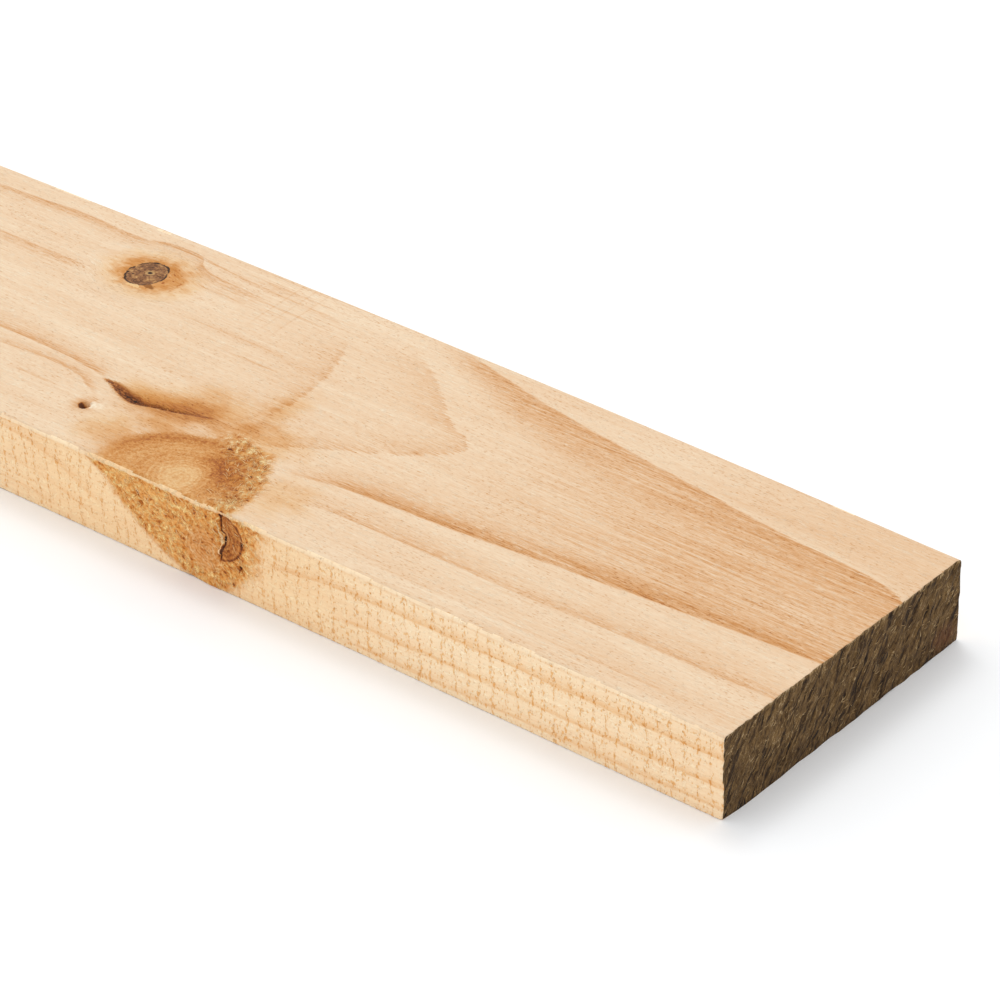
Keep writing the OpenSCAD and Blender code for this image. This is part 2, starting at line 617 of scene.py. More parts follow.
def weathered_tones(lit):
    """Weathered end grain, from dark gaps to bleached fibres."""
    screen = ((0.00, 26, 17, 9), (0.30, 65, 45, 23), (0.50, 99, 74, 42), (0.70, 128, 100, 62),
              (0.86, 172, 144, 104), (1.00, 212, 184, 142))
    return tuple((dark, shade(*colour, lit)) for dark, *colour in screen)


# ---------------------------------------------------------------- material: the broad faces

# Growth-ring boundaries of the top face, b at each a, with the dark side below or above
ARC_UPPER = ((-170, 103), (-150, 98), (-132, 94), (-108, 90), (-74, 85.5), (-43, 81.3), (-12, 78.6),
             (0, 74))
ARC_LOWER = ((-166, 23.5), (-158, 25.5), (-143, 28.2), (-115, 30.2), (-85, 32.9), (-50, 36), (-28, 38),
             (0, 39.8))
LINE_FOUR = ((-150, 16), (-143, 17), (-127, 17.8), (-81, 17.8), (-47, 19), (0, 20.3))
LINE_FIVE = ((-125, 5.2), (-74, 5.6), (0, 6.3))
# Blunt arcs that point to +X, a at each b
ARC_ONE = ((38, -187), (43, -185), (48, -184.6), (54, -184.2), (61, -185), (69, -186.5), (77, -189),
           (84, -193), (92, -202))
ARC_TWO = ((26, -181), (32, -173.5), (42, -158), (51, -142.7), (57, -136.5), (61, -133), (66, -135),
           (69, -142), (76, -150.5), (82, -158), (92, -172), (98, -184))
# Short lines of the stretch before the knots: b at each a, dark width above (below if negative), strength
FLOW_LINES = (
    (((-345, 91), (-318, 92.5), (-300, 94), (-281, 93.4), (-268, 96.3), (-260, 96.6), (-254, 92.8),
      (-246, 90.2), (-225, 89)), -4, 0.7),
    (((-260, 97.5), (-248, 95), (-230, 93.8), (-200, 93)), -1.2, 0.6),
    (((-345, 71), (-312, 72), (-286, 72.2), (-278, 73)), -6, 0.5),
    (((-290, 31), (-275, 32.6), (-258, 32.8), (-241, 31.6), (-231, 29.8)), 4.6, 0.7),
    (((-275, 26.5), (-263, 27), (-252, 27.9), (-243, 27.6), (-235, 24.8), (-228, 21.5)), 3.2, 0.6),
    (((-262, 18.6), (-250, 19.2), (-238, 18.4)), 1.5, 0.5),
    (((-216, 60.6), (-205, 61), (-196, 61.3)), 1, 0.5),
    (((-242, 67.6), (-225, 68.3), (-198, 68.5)), 1, 0.5),
    (((-252, 82.6), (-240, 83.2), (-228, 83)), 1, 0.5),
)
# Stains round the big knot: centre a and b, half-sizes, and how much they darken
WASHES = (((-181, 33, 20, 11), 0.19), ((-203, 38, 10, 12), 0.13), ((-156, 14, 13, 12), 0.13),
          ((-184, 46, 7, 15), 0.14), ((-214, 12, 12, 12), 0.15), ((-205, 22, 10, 7), 0.17))
# Pits of the big knot's torn side, painted dark as shade in them: a, b, size
TOP_SHADED_PITS = ((-164.6, 12.8, 1), (-166.2, 6, 0.9))


def nearest_knot(g):
    """Centre a and b and half-sizes of the dead knot whose stretch of the board a point is in."""
    found = [g.a * 0 + value for value in DEAD_KNOT]
    for knot, following in zip((DEAD_KNOT, *FAR_KNOTS), FAR_KNOTS):
        past = g.math("LESS_THAN", g.a, (knot[0] + following[0]) / 2)
        found = [value + past * (new - old) for value, new, old in zip(found, following, knot)]
    return found


def around_knot(g, knot):
    """The coordinate across the grain, bent so that fibres pass round the knot."""
    ka, kb, ra, rb = knot
    reach = g.hypot((g.a - ka) / (ra * 2.6), (g.b - kb) / (rb * 1.7))
    return g.b - (g.b - kb) * g.step(1.5, 0.2, reach) * 0.8


def grain(g, across, depth):
    """Fine fibre streaks, long streaks, broad tone, torn dashes and raised pale fibres, from 0 to 1."""
    fine = g.noise(g.a / 3.6, across * 2.2, depth * 2.2, 3, 0.72)
    long_streaks = g.noise(g.a / 32, across * 1.25, depth * 1.25 + 11, 3, 0.6)
    broad = g.noise(g.a / 55, across / 6, depth / 6, 2)
    patch = g.noise(g.a / 20 + 9, across / 7, depth / 7, 2)
    dash = g.noise(g.a / 1.5, across * 2.4, depth * 2.4 + 31, 1) + (patch - 0.5) * 0.25
    pale = g.noise(g.a / 2 + 57, across * 2.1, depth * 2.1, 1) - (patch - 0.5) * 0.2
    return fine, long_streaks, broad, g.step(0.62, 0.74, dash), g.step(0.61, 0.73, pale)


def ring_band(g, inward, width, ragged=0, streak=None):
    """Latewood: sharp at inward 0 and fading over width on the inner side."""
    inner = inward if streak is None else inward + (streak - 0.5) * ragged
    fade = (1 - g.step(0, width, inner) * 0.75) * g.step(width * 1.8, width * 0.9, inner)
    return g.step(-0.4, 0.5, inward) * fade


def generic_rings(g, across):
    """Arched ring pattern of the stretches that have no listed lines."""
    wave = g.noise(g.a / 150, across / 30, g.c / 30 + 3, 2) - 0.5
    phase = (g.a + (across - 57) * (across - 57) * 0.075 + wave * 120) / 62
    tooth = g.math("FRACT", phase)
    return g.window(tooth, 0.35, 1, 0.965, 1)


def face_material(name, shown):
    """The top face as shown, or the bottom face with the same make-up and no listed features."""
    g = Graph(name)
    knot = nearest_knot(g)
    across = around_knot(g, knot)
    fine, long_streaks, broad, dash, pale = grain(g, across, g.c)
    dark = (fine - 0.5) * 0.34 + (long_streaks - 0.5) * 0.2 + (broad - 0.5) * 0.16 + 0.205
    late = generic_rings(g, across) * 0.8
    if shown:
        late = late * g.step(-345, -400, g.a)
        late = g.most(late, hand_set_rings(g, long_streaks))
        dark = dark + shown_regions(g)
    dark = dark + late * ((long_streaks - 0.5) * 0.34 + (fine - 0.5) * 0.3 + 0.195)
    dark = dark + dash * 0.17 - pale * 0.085
    height = fine * 0.7 + long_streaks * 0.3 + pale * 0.5 - dash * 0.35
    resin = g.a * 0
    if shown:
        dark, height, resin = paint_big_knot(g, dark, height)
        dark, height, stained = paint_pocket(g, dark, height)
        dark = paint_pin_knot(g, dark)
        resin = g.most(resin, stained)
    dark, stained = paint_halo(g, dark, knot)
    colour = g.stain(g.most(resin, stained), g.tone(dark, wood_tones(TOP_LIT)), RESIN)
    colour = paint_dead_knot(g, colour, knot)
    return g.finish(colour, g.span(0.2, 0.8, fine, 0.58, 0.72), height, 0.16)


def shown_regions(g):
    """Slow changes of tone over the top face: darker beyond the upper arc, warmer beside the knot."""
    a, b = g.a, g.b
    beyond = g.step(-1, 3, b - g.curve(ARC_UPPER, a)) * g.step(-120, -15, a)
    warm = g.blot(a, b, (-205, 60, 40, 22), 1.4, 0.3)
    right = g.step(-190, -10, a) * 0.02
    chatter = g.math("ABSOLUTE", g.math("FRACT", (a + b * 0.05) / 4.5) - 0.5)
    marks = g.step(0.1, 0.02, chatter) * g.window(a, -228, -224, -214, -208)
    marks = marks * g.step(70, 82, b)
    return beyond * 0.075 + warm * 0.035 + right + marks * 0.06


def hand_set_rings(g, streak):
    a, b = g.a, g.b
    wander = streak - 0.5
    upper = g.curve(ARC_UPPER, a) - b + wander * 0.8
    wide = g.span(-160, -40, a, 9, 26)
    band = g.step(-0.4, 0.5, upper) * g.step(1.25, 0.55, (upper + wander * 26) / wide)
    late = band * g.step(-178, -150, a) * 0.9
    late = late + g.window(upper, -0.4, 0.5, 0.5, 7) * g.step(-178, -140, a) * 0.3
    lower = b - g.curve(ARC_LOWER, a) + wander * 0.5
    reach = g.span(-150, -20, a, 6, 15)
    late = g.most(late, ring_band(g, lower, reach, 6, streak) * g.step(-172, -140, a) * 1.45)
    heart = g.step(-150, -40, a) * g.step(0, 4, upper) * g.step(0, 4, lower)
    late = g.most(late, heart * g.span(0.25, 0.6, streak, 0.45, 0.85))
    four = b - g.curve(LINE_FOUR, a) + wander * 0.5
    late = g.most(late, ring_band(g, four, 5, 3, streak) * 0.95 * g.step(-158, -138, a))
    five = b - g.curve(LINE_FIVE, a)
    late = g.most(late, ring_band(g, five, 2.2) * 0.4 * g.step(-130, -100, a))
    broken = g.step(0.42, 0.58, g.noise(a / 3, b * 0.8, 33, 2))
    one = g.curve(ARC_ONE, b) - a + wander * 5
    rim = g.window(one, -0.5, 0.8, 1.2, 4) * broken
    arc = ring_band(g, one, 14, 14, streak) * 0.44 + rim * 0.4
    late = g.most(late, arc * g.window(b, 38, 50, 76, 93))
    two = g.curve(ARC_TWO, b) - a + wander * 9
    rim = g.window(two, -0.5, 0.8, 1.5, 5) * broken
    arc = ring_band(g, two, 22, 20, streak) * 0.54 + rim * 0.3
    late = g.most(late, arc * g.window(b, 27, 38, 80, 99))
    for points, width, strength in FLOW_LINES:
        side = b - g.curve(points, a) + wander * 0.8
        side = side if width > 0 else side * -1
        ends = g.step(points[0][0], points[0][0] + 8, a) * g.step(points[-1][0], points[-1][0] - 8, a)
        late = g.most(late, ring_band(g, side, abs(width)) * ends * strength * 1.6)
    top_lines = g.step(0.52, 0.64, g.noise(a / 60, b * 0.75, 5, 1))
    top_lines = top_lines * g.window(a, -262, -240, -205, -175)
    return g.most(late, top_lines * 0.5 * g.step(80, 88, b))


# ---------------------------------------------------------------- material: knots of the broad faces

def paint_halo(g, dark, knot):
    """The orange stain round a dead knot, drawn out along the grain. Gives darkness and resin."""
    ka, kb, ra, rb = knot
    cloud = g.noise((g.a + ka) / 4, g.b / 2.6, 0, 2) - 0.5
    halo = g.ellipse(g.a, g.b, ka + 1.6, kb + 0.2, ra * 2.15, rb * 1.42) + cloud * 0.7
    outer = g.step(1.55, 0.8, halo)
    inner = g.step(1.12, 0.62, halo)
    return dark + outer * 0.07 + inner * 0.27, g.most(outer * 0.45, inner * 0.75)


def paint_dead_knot(g, colour, knot):
    """A dead knot: mottled grey-brown wood with checks, a broken dark rim and a small dark pith."""
    ka, kb, ra, rb = knot
    a, b = g.a, g.b
    wobble = g.noise((a + ka) / 1.7, b / 1.7, 0, 2) - 0.5
    r = g.ellipse(a, b, ka, kb, ra * 0.95, rb * 0.98) + wobble * 0.22
    fine = g.noise(a / 0.7, b / 0.7, 0, 2, 0.7)
    blotch = g.noise(a / 2.8, b / 2.8, 0, 2)
    rings = g.math("SINE", r * 19 + blotch * 5) * 0.5 + 0.5
    value = (fine - 0.5) * 0.9 + (blotch - 0.5) * 0.9 + rings * 0.12 + 0.47
    light = g.blot(a, b, (ka + 2.4, kb + 0.4, 3.6, 3.4), 0.95, 0.2)
    value = value + light * 0.13
    screen = ((0, 46, 26, 12), (0.35, 112, 71, 40), (0.55, 148, 99, 58), (0.8, 192, 143, 88),
              (1, 224, 182, 124))
    tones = tuple((stop, shade(*rgb)) for stop, *rgb in screen)
    checks = g.hairs(a / 2.2, b / 2.2, 3, 0.02) * g.step(0.95, 0.7, r)
    wood = g.tone(value - checks * 0.3, tones)
    colour = g.mix(g.step(1, 0.95, r), colour, wood)
    gaps = g.step(0.3, 0.48, g.noise(a / 1.6, b / 1.6, 9, 1))
    rim = g.window(r, 0.9, 0.96, 1, 1.05) * gaps
    colour = g.mix(rim * 0.97, colour, shade(50, 28, 12))
    chip = g.blot(a, b, (ka + ra * 0.3, kb - rb * 1.02, 3.6, 1), 1, 0.7, wobble * 2.2)
    colour = g.mix(chip, colour, shade(238, 196, 138))
    gum = g.blot(a, b, (ka + ra * 0.88, kb - rb * 0.72, 2.2, 1), 1.1, 0.7, wobble * 1.6)
    colour = g.mix(gum * 0.96, colour, shade(150, 92, 30))
    pith = g.ellipse(a, b, ka + 0.4, kb + 0.9, 0.75, 0.6)
    colour = g.mix(g.step(2.2, 1.7, pith) * 0.7, colour, shade(196, 156, 100))
    return g.mix(g.step(1.2, 0.8, pith), colour, shade(58, 34, 16))


def torn_wood(g, x, y, seed, size):
    """Torn fibres: a darkness about 0 and a height. Lumps of the given size, pale curls and dark pits. The
    darkness follows the height: low lumps and pits carry painted shade and raised curls a painted highlight,
    over the torn wood's own changes of tone.
    """
    lumps = g.noise(x / size, y / size, seed, 3, 0.62)
    grit = g.noise(x / 0.5, y / 0.5, seed + 4, 2, 0.6)
    wide_curls = g.hairs(x / 2.9, y / 2.9, seed + 7, 0.042)
    curls = g.most(wide_curls, g.hairs(x / 1.9, y / 3.4, seed + 13, 0.038))
    curls = curls * g.step(0.42, 0.6, lumps + (grit - 0.5) * 0.3)
    pits = g.step(0.4, 0.31, lumps)
    # Low lumps and pits darker, raised curls lighter: painted shade and highlight on the relief, besides the
    # wood's own tone.
    dark = (0.5 - lumps) * 1.15 + (0.5 - grit) * 0.36 + pits * 0.16 - curls * 0.31
    return dark, lumps * 3 + curls * 1.2 + grit * 0.8


def paint_big_knot(g, dark, height):
    """The knot cut through at the near edge: a pale eye, arcs of brown rings and a torn, orange +X side."""
    a, b = g.a, g.b
    cloud = g.noise(a / 7, b / 5, 0, 3, 0.6) - 0.5
    grit = g.noise(a / 0.6, b / 0.6, 5, 2, 0.7) - 0.5
    resin = a * 0
    for spot, amount in WASHES:
        wash = g.blot(a, b, spot, 1.2, 0, cloud * 1.2)
        dark = dark + wash * amount
        resin = g.most(resin, wash * (amount * 3))
    x, y = a - BIG_KNOT[0], b - BIG_KNOT[1]
    left = g.step(6, -8, x)
    reach = g.hypot(x / (left * 5.5 + 20), y / ((1 - left) * 4 + 19.5)) + cloud * 0.08
    dark = dark + g.step(1.5, 0.95, reach + grit * 0.1) * 0.15 * left
    wood = g.step(0.2, 0.4, reach) * 0.11 + g.step(0.74, 0.95, reach) * g.step(-8, 8, y) * 0.19 + 0.35
    rings = g.math("SINE", reach * 64 + cloud * 9) * g.step(0.05, 0.2, reach)
    wide_rings = g.math("SINE", reach * 25 + cloud * 4 + 1)
    coarse = g.noise(a / 1.4, b / 1.1, 25, 3, 0.65) - 0.5
    eye_rings = g.math("SINE", reach * 115 + cloud * 4) * g.step(0.03, 0.12, reach)
    eye_rings = eye_rings * g.step(0.55, 0.35, reach)
    wood = wood + eye_rings * 0.036 + rings * 0.026 + wide_rings * 0.022
    wood = wood + grit * 0.46 + coarse * 0.5 + cloud * 0.14
    brown = g.step(0.18, 0.5, reach) * g.step(-5, 5, x) * g.step(-5, 9, y)
    wood = wood + brown * 0.2 + g.step(0.2, 0.5, reach) * 0.03
    inside = g.step(1.1, 0.9, reach + grit * 0.25)
    dark = blend(inside, dark, wood)
    resin = g.most(resin, g.most(inside * 0.8, brown * inside))

    rx, ry = (a - TORN_OUT[0]) / TORN_OUT[2], (b - TORN_OUT[1]) / TORN_OUT[3]
    far = g.hypot(rx, ry) + cloud * 0.4
    torn = g.step(-0.12, 0.5, rx + ry * 0.35 + cloud * 0.6)
    torn = torn * g.window(far, 0.6, 0.85, 0.96, 1.16)
    torn_tone_and_shade, lift = torn_wood(g, a, b, 4, 2.2)
    # The torn side's tone carries the painted shade and highlight of the torn wood.
    tone = torn_tone_and_shade * 1.1 + g.step(1.05, 0.7, far) * g.step(-8, 8, y) * 0.1 + 0.46
    dark = blend(torn, dark, tone)
    # Pits painted dark: painted shade.
    for pit_a, pit_b, size in TOP_SHADED_PITS:
        dark = dark + g.blot(a, b, (pit_a, pit_b, size * 1.3, size * 0.8), 1.3, 0.3, cloud * 2) * 0.28
    return dark, blend(torn, height, lift) + grit * inside * 1.5, g.most(resin, torn)


def paint_pocket(g, dark, height):
    """The bark pocket: a dark seam that starts as a wedge, with an orange-brown halo above it."""
    a, b = g.a, g.b
    ragged = g.noise(a / 2.6, b * 1.2, 2, 3, 0.65) - 0.5
    grit = g.noise(a / 0.8, b / 0.5, 8, 2, 0.65) - 0.5
    side = b - g.curve(POCKET_LINE, a) + ragged * 1.4
    along = g.window(a, -231, -217, -204, -188)
    halo = g.step(-1, 0.8, side) * g.step(10, 3.5, side + grit * 2) * along
    wide_halo = g.window(side, -1, 2, 2, 17) * g.step(-228, -206, a)
    wide_halo = wide_halo * g.step(-176, -198, a)
    below = g.window(side, -8, -0.5, -0.4, 0.8)
    below = below * g.window(a, -230, -214, -202, -182)
    halo = halo * g.span(-214, -200, a, 1, 0.65)
    dark = dark + halo * (g.step(5, 0, side) * 0.17 + 0.22) + wide_halo * 0.13 + below * 0.34
    ember = g.blot(a, b, (-202, 31.6, 9, 2.2), 1.3, 0.1, ragged * 0.6)
    dark = dark + ember * 0.04
    width = g.curve(POCKET_WIDTH, a)
    seam = g.step(1.7, 0.35, g.math("ABSOLUTE", side - width * 0.1 + grit * 1.7) / (width + 0.05))
    seam = seam * g.window(a, -235, -231, -208, -195)
    core = grit * 0.8 + ragged * 0.5 + 0.69
    core = core + g.step(-231, -221, a) * 0.1 + g.step(-208, -218, a) * 0.08
    dark = blend(seam, dark, core)
    resin = g.most(halo, g.most(wide_halo * 0.6, below * 0.3))
    return dark, height * (1 - seam) - seam * 1 + grit * (halo + seam) * 2, resin * (1 - seam)


def paint_pin_knot(g, dark):
    """A pin knot whose hole is half covered by a pale curl of wood."""
    a, b = g.a, g.b
    cloud = g.noise(a / 2.2, b / 2.2, 14, 3, 0.6) - 0.5
    halo = g.blot(a, b, (*PIN_KNOT, 4.6, 4.4), 1.3, 0.2, cloud * 0.8)
    dark = dark + halo * 0.28
    curl = g.blot(a, b, (PIN_KNOT[0] + 3, PIN_KNOT[1] + 1.4, 3.2, 2.1), 1.1, 0.6, cloud)
    dark = blend(curl, dark, cloud * 0.9 + 0.14)
    # The hole is painted dark: painted shade inside it.
    hole = g.blot(a, b, (*PIN_KNOT, 1.8, 1.4), 1.15, 0.7, cloud * 0.9)
    return blend(hole, dark, 0.9)


# ---------------------------------------------------------------- material: the long edges

# Ring lines of the near edge: c at each a, dark width above, strength
EDGE_LINES = (
    (((-152, 12), (-146, 14), (-133, 16.2), (-120, 17.2), (-80, 17.6), (-40, 17.4), (0, 17.9)), 2.6, 0.9),
    (((-130, 6.6), (-122, 7.6), (-109, 8.5), (-86, 8.9), (-40, 8.6), (0, 9.4)), 2.2, 0.85),
    (((-125, 1.6), (-60, 2.2), (0, 3)), 1.8, 0.8),
    (((-260, 21.8), (-241, 20.7), (-231, 19.3), (-222, 16.2), (-213, 12), (-204, 8)), 3, 0.6),
    (((-262, 11.6), (-245, 11.6), (-233, 10.8), (-222, 8.5), (-208, 3.4)), 2.4, 0.5),
    (((-262, 4.6), (-240, 4.2), (-222, 1.5)), 1.6, 0.5),
)
# Pits of the near edge's knot, painted dark as shade in them: a, c, size
EDGE_SHADED_PITS = ((-194, 18.5, 1), (-192.7, 15.8, 0.9), (-158, 9, 1.1), (-163, 16, 1), (-165, 10, 0.8),
             (-186, 12.5, 0.8), (-178, 5, 0.8), (-160, 3.6, 0.8))


def edge_material(name, shown):
    """The near edge as shown, or the far edge with the same make-up and no listed features."""
    g = Graph(name)
    a, c = g.a, g.c
    fine, long_streaks, broad, _, pale = grain(g, c * 0.8, g.b)
    column = a / SAW_PITCH + (g.noise(a / 9, c / 14, 3, 1) - 0.5) * 1.3
    column = g.math("ABSOLUTE", g.math("FRACT", column) - 0.5) * 2
    level = (c + g.noise(a / 160, c / 30, 8, 1) * 14 + a * 0.004) / 7.6
    tooth = g.math("FRACT", level)
    late = g.step(0.62, 1, 1 - tooth) * g.step(0, 0.05, tooth) * 0.7
    if shown:
        late = late * g.step(-262, -330, a)
        wander = (g.noise(a / 12, c / 2, 0, 3, 0.6) - 0.5) * 1.6
        for points, width, strength in EDGE_LINES:
            side = c - g.curve(points, a) + wander
            ends = g.step(points[0][0], points[0][0] + 12, a)
            if points[-1][0] < 0:
                ends = ends * g.step(points[-1][0], points[-1][0] - 8, a)
            late = g.most(late, ring_band(g, side, width) * ends * strength)
    dark = (fine - 0.5) * 0.2 + (long_streaks - 0.5) * 0.14 + (broad - 0.5) * 0.14 + late * 0.19 + 0.15
    patch = g.noise(a / 10, c / 8, 6, 2)
    crowd = g.step(0.45, 1, column) * 0.1 + (patch - 0.5) * 0.22
    marks = g.step(0.58, 0.7, g.noise(a / 0.66, c / 1.35, 2, 2) + crowd)
    dots = g.step(0.7, 0.78, g.noise(a / 0.8, c / 0.8, 12, 1) + crowd * 0.6)
    facets = g.step(0.55, 0.66, g.noise(a / 1.3, c / 1.2, 19, 1) + crowd * 0.4)
    dark = dark + marks * 0.16 + dots * 0.15 - facets * 0.07 + g.step(0.6, 1, column) * 0.03
    height = fine * 0.5 + facets * 0.6 - marks * 0.45 - dots * 0.8 + pale * 0.3
    resin = marks * 0.5 + late * 0.25 + 0.1
    if shown:
        around = g.blot(a, c, (-185, 12, 75, 60), 1.5, 0.4)
        dark = dark + g.step(-70, 0, a) * 0.05 + around * 0.055
        resin = g.most(resin, around * 0.35)
        dark, height, torn = paint_edge_knot(g, dark, height)
        resin = g.most(resin, torn)
    fuzz = g.noise(a / 12, c / 1.6, 5, 3, 0.6) - 0.5
    # The pale band along the top arris of both long edges is a painted highlight, with a slightly darker
    # strip, the lip, just below it.
    arris_highlight = g.step(THICKNESS - 1.7, THICKNESS - 1.1, c + fuzz * 1.1)
    lip = g.step(THICKNESS - 2.3, THICKNESS - 1.7, c + fuzz * 1.1) * (1 - arris_highlight)
    dark = dark * (1 - arris_highlight * 0.75) + arris_highlight * (fuzz * 0.3 + 0.1) + lip * 0.07
    colour = g.stain(resin * (1 - arris_highlight * 0.6), g.tone(dark, wood_tones(EDGE_LIT, 0.99)), EDGE_RESIN)
    return g.finish(colour, g.span(0.2, 0.8, fine, 0.6, 0.75), height, 0.16)


def paint_edge_knot(g, dark, height):
    """The big knot on the near edge: a torn, orange-brown wedge with a small dark knot and a crack."""
    a, c = g.a, g.c
    cloud = g.noise(a / 4, c / 4, 7, 3, 0.6) - 0.5
    left, right = a - g.curve(KNOT_LEFT, c), g.curve(KNOT_RIGHT, c) - a
    zone = g.step(-1.8, 3, left + cloud * 4) * g.step(-2.5, 7, right + cloud * 9)
    along, over = a * 0.84 - c * 0.54, a * 0.54 + c * 0.84
    torn_tone_and_shade, lift = torn_wood(g, a, c, 9, 1.5)
    fibres = g.noise(along / 4.5, over / 0.75, 9, 3, 0.6)
    pale_fibres = g.hairs(along / 7, over / 2, 17, 0.03) * g.step(-163, -180, a)
    # Raised fibres are lighter and sunk ones darker, matching their height: partly the wood's own tone and
    # partly painted highlight and shade.
    wood = torn_tone_and_shade * 0.85 + (0.5 - fibres) * 0.7 - pale_fibres * 0.1 + cloud * 0.55 + 0.45
    heart = g.blot(a, c, (-170.5, 10.5, 7.5, 6.5), 1.2, 0.5, cloud * 0.4)
    arcs = g.math("SINE", g.hypot(a + 169, (c - 11) * 1.2) * 5.6 + cloud * 4)
    wood = wood + g.blot(a, c, (-166, 14, 12, 12), 1.4, 0.3, cloud) * 0.08
    wood = wood * (1 - heart * 0.6) + heart * (arcs * 0.06 + 0.35)
    dark = blend(zone, dark, wood)
    dark = dark + g.window(left, -1, 0.3, 0.3, 3) * 0.08

    gap = a - g.curve(CRACK_LINE, c) + cloud * 1.1
    second = g.hypot((a + 165) / 8.6, (c - 17) / 7.6) + cloud * 0.1
    disc = g.step(1.03, 0.95, second) * g.step(-0.4, 0.6, gap)
    bands = g.math("SINE", second * 42 + cloud * 4)
    rim = g.step(0.86, 0.97, second)
    # The disc's tone also carries the painted highlight and shade of the fibres and the torn wood.
    disc_tone = bands * 0.05 + rim * 0.12 + (0.5 - fibres) * 0.55 + torn_tone_and_shade * 0.25 + 0.7
    dark = blend(disc, dark, disc_tone)
    reach = g.window(c, 8, 10.5, 24, 25.2)
    blobs = g.noise(a / 2.4, c / 2.6, 3, 2)
    cut = g.step(1.2, 0.3, g.math("ABSOLUTE", gap) / g.span(0.4, 0.62, blobs, 0.2, 0.7)) * reach
    dark = blend(cut, dark, 0.93)
    splinter = g.math("ABSOLUTE", gap + g.span(10, 24, c, 0.4, 1.5)) + (blobs - 0.5) * 0.5
    splinter = g.step(0.22, 0.08, splinter) * g.window(c, 9, 11, 20, 22.5)
    dark = blend(splinter, dark, 0.16)
    # Pits painted dark: painted shade.
    for pit_a, pit_c, size in EDGE_SHADED_PITS:
        dark = dark + g.blot(a, c, (pit_a, pit_c, size * 0.9, size * 1.2), 1.35, 0.4, cloud) * 0.3
    resin = zone * (1 - g.most(heart * 0.55, disc * 0.7)) * (1 - splinter * 0.5)
    return dark, height * (1 - zone) + zone * (lift * (1 - heart * 0.6) + fibres * 2), resin


# ---------------------------------------------------------------- material: the sawn ends

# Cracks along the growth rings: b at each c
RING_CRACKS = (
    ((0.5, 30.6), (4.4, 37.7), (8, 41.3), (13, 44), (18.7, 46.3), (24.4, 48.4)),
    ((0.5, 47), (3.7, 49), (8.7, 54), (15.9, 59), (24.4, 61.3)),
    ((2.3, 55.6), (7.3, 60), (15, 65), (24, 69.5)),
)


def end_material(name):
    """Weathered end grain with slanted saw marks, loose curly fibres and fine cracks along the rings."""
    g = Graph(name)
    b, c = g.b, g.c
    bend = (g.noise(b / 9, c / 9, 2, 2) - 0.5) * 3
    slant, along = b * 0.83 - c * 0.56 + bend, b * 0.56 + c * 0.83
    marks = g.noise(slant / 0.62, along / 5, 0, 3, 0.62)
    grooves = g.step(0.47, 0.37, g.noise(slant / 1.35, along / 11, 8, 2, 0.55))
    fuzz = g.noise(slant / 0.4, along / 1.2, 3, 3, 0.7)
    broad = g.noise(b / 14, c / 8, 6, 3)
    curls = g.most(g.hairs(b / 1.3, c / 1.5, 21, 0.028), g.hairs(slant / 0.9, along / 2.4, 27, 0.03))
    curls = curls * g.step(0.44, 0.58, g.noise(b / 2.6, c / 2.6, 15, 2))
    value = (marks - 0.5) * 1.15 + (fuzz - 0.5) * 0.75 + (broad - 0.5) * 0.35 + 0.5
    value = value - grooves * 0.27 + curls * 0.22 + g.span(0, 25, c, -0.05, 0.02)
    wobble = (fuzz - 0.5) * 1.6 + (marks - 0.5) * 1.6
    for points in RING_CRACKS:
        cut = g.step(1, 0.2, g.math("ABSOLUTE", b - g.curve(points, c) + wobble) / 0.75)
        value = value - cut * 0.26
    lip = g.step(THICKNESS - 1.1, THICKNESS - 0.1, c + (fuzz - 0.5) * 2.6)
    value = value + lip * 0.22
    colour = g.tone(value, weathered_tones(END_LIT))
    red = g.blot(b, c, (94, 4, 6, 4.5), 1.2, 0.3)
    colour = g.mix(red * 0.4, colour, shade(126, 78, 52))
    return g.finish(colour, 0.85, marks * 1 + fuzz * 0.8 + curls * 0.7 - grooves * 1, 0.5)


# ---------------------------------------------------------------- the plank

def fibre_material(name):
    """Loose fibres: cream and orange on the knot, grey-brown and bleached on the weathered end."""
    g = Graph(name)
    tone = g.noise(g.a / 2.5, g.b / 2.5, g.c / 2.5, 1.0)
    wood = g.stain(0.75, g.tone((tone - 0.5) * 0.9 + 0.27, wood_tones(1.05)), RESIN)
    weathered = g.tone((tone - 0.5) * 0.9 + 0.74, weathered_tones(END_LIT))
    return g.finish(g.mix(g.step(-4.0, -3.0, g.a), wood, weathered), 0.75, tone, 0.02)


# Size of the texture sheet and its margin in pixels, the gap between sides in mm, and pixels per mm
SHEET = 1024.0
SHEET_EDGE = 4.0
SIDE_GAP = 2.0
SHOWN_SCALE, HIDDEN_SCALE, END_SCALE = 2.8, 0.7, 3.6


